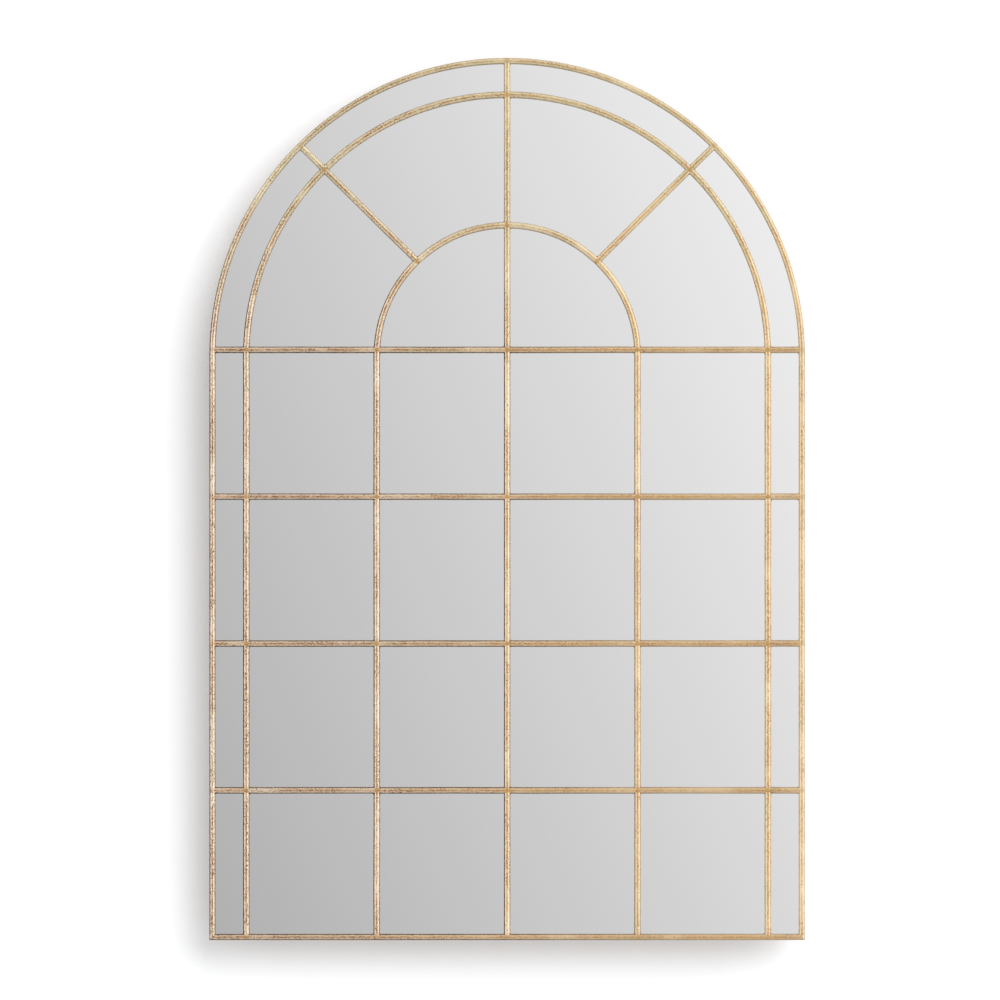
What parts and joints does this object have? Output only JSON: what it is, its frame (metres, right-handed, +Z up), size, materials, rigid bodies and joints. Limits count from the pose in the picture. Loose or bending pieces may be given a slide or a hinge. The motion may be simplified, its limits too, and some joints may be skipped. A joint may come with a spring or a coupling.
{
  "type": "arched window mirror",
  "caption": "Tall arched wall mirror with a gilded iron window grille over one sheet of mirror glass, a board behind it and two D-ring hangers.",
  "frame": {"origin": "Middle of the bottom edge, on the under face of the bottom rail, half way through the depth of the frame bar.", "axes": "+Z up, +X to the right as seen from the front, and the mirror faces -Y."},
  "size_m": [1.0286, 0.0297, 1.524],
  "materials": {
    "gilded_iron": "antique gold leaf over iron, rubbed through to brown on the edges",
    "mirror_glass": "clear float glass, silvered on the back",
    "backing_board": "plain medium-density fibreboard",
    "zinc_steel": "bright zinc plate",
    "rubber": "matt black rubber"
  },
  "bodies": {
    "mirror": {"frame_arch_left": "gilded_iron", "frame_arch_right": "gilded_iron", "frame_stile_left": "gilded_iron", "frame_stile_right": "gilded_iron", "frame_bottom_rail": "gilded_iron", "grille_centre_bar": "gilded_iron", "grille_inner_upright_left": "gilded_iron", "grille_outer_upright_left": "gilded_iron", "grille_inner_upright_right": "gilded_iron", "grille_outer_upright_right": "gilded_iron", "grille_small_arch_left": "gilded_iron", "grille_small_arch_right": "gilded_iron", "grille_large_arch_lower_left": "gilded_iron", "grille_large_arch_lower_right": "gilded_iron", "grille_large_arch_upper_left": "gilded_iron", "grille_large_arch_upper_right": "gilded_iron", "grille_spoke_left": "gilded_iron", "grille_spoke_right": "gilded_iron", "grille_rail_1_bay_1": "gilded_iron", "grille_rail_1_bay_2": "gilded_iron", "grille_rail_1_bay_3": "gilded_iron", "grille_rail_1_bay_4": "gilded_iron", "grille_rail_1_bay_5": "gilded_iron", "grille_rail_1_bay_6": "gilded_iron", "grille_rail_2_bay_1": "gilded_iron", "grille_rail_2_bay_2": "gilded_iron", "grille_rail_2_bay_3": "gilded_iron", "grille_rail_2_bay_4": "gilded_iron", "grille_rail_2_bay_5": "gilded_iron", "grille_rail_2_bay_6": "gilded_iron", "grille_rail_3_bay_1": "gilded_iron", "grille_rail_3_bay_2": "gilded_iron", "grille_rail_3_bay_3": "gilded_iron", "grille_rail_3_bay_4": "gilded_iron", "grille_rail_3_bay_5": "gilded_iron", "grille_rail_3_bay_6": "gilded_iron", "grille_transom_bay_1": "gilded_iron", "grille_transom_bay_2": "gilded_iron", "grille_transom_bay_3": "gilded_iron", "grille_transom_bay_4": "gilded_iron", "grille_transom_bay_5": "gilded_iron", "grille_transom_bay_6": "gilded_iron", "retaining_tab_lower_left": "gilded_iron", "retaining_tab_middle_left": "gilded_iron", "retaining_tab_bottom_left": "gilded_iron", "retaining_tab_upper_left": "gilded_iron", "retaining_tab_lower_right": "gilded_iron", "retaining_tab_middle_right": "gilded_iron", "retaining_tab_bottom_right": "gilded_iron", "retaining_tab_upper_right": "gilded_iron", "mirror_glass": "mirror_glass", "backing_board": "backing_board", "hanger_plate_left": "zinc_steel", "bumper_lower_left": "rubber", "bumper_upper_left": "rubber", "hanger_plate_right": "zinc_steel", "bumper_lower_right": "rubber", "bumper_upper_right": "rubber"},
    "left_ring": {"d_ring_left": "zinc_steel"},
    "right_ring": {"d_ring_right": "zinc_steel"}
  },
  "joints": [
    {"name": "left_ring_swing", "type": "hinge", "parent": "mirror", "child": "left_ring", "pos_m": [-0.48705, 0.01175, 0.94965], "axis": [1, 0, 0], "range_deg": [0, 180]},
    {"name": "right_ring_swing", "type": "hinge", "parent": "mirror", "child": "right_ring", "pos_m": [0.48705, 0.01175, 0.94965], "axis": [1, 0, 0], "range_deg": [0, 180]}
  ]
}
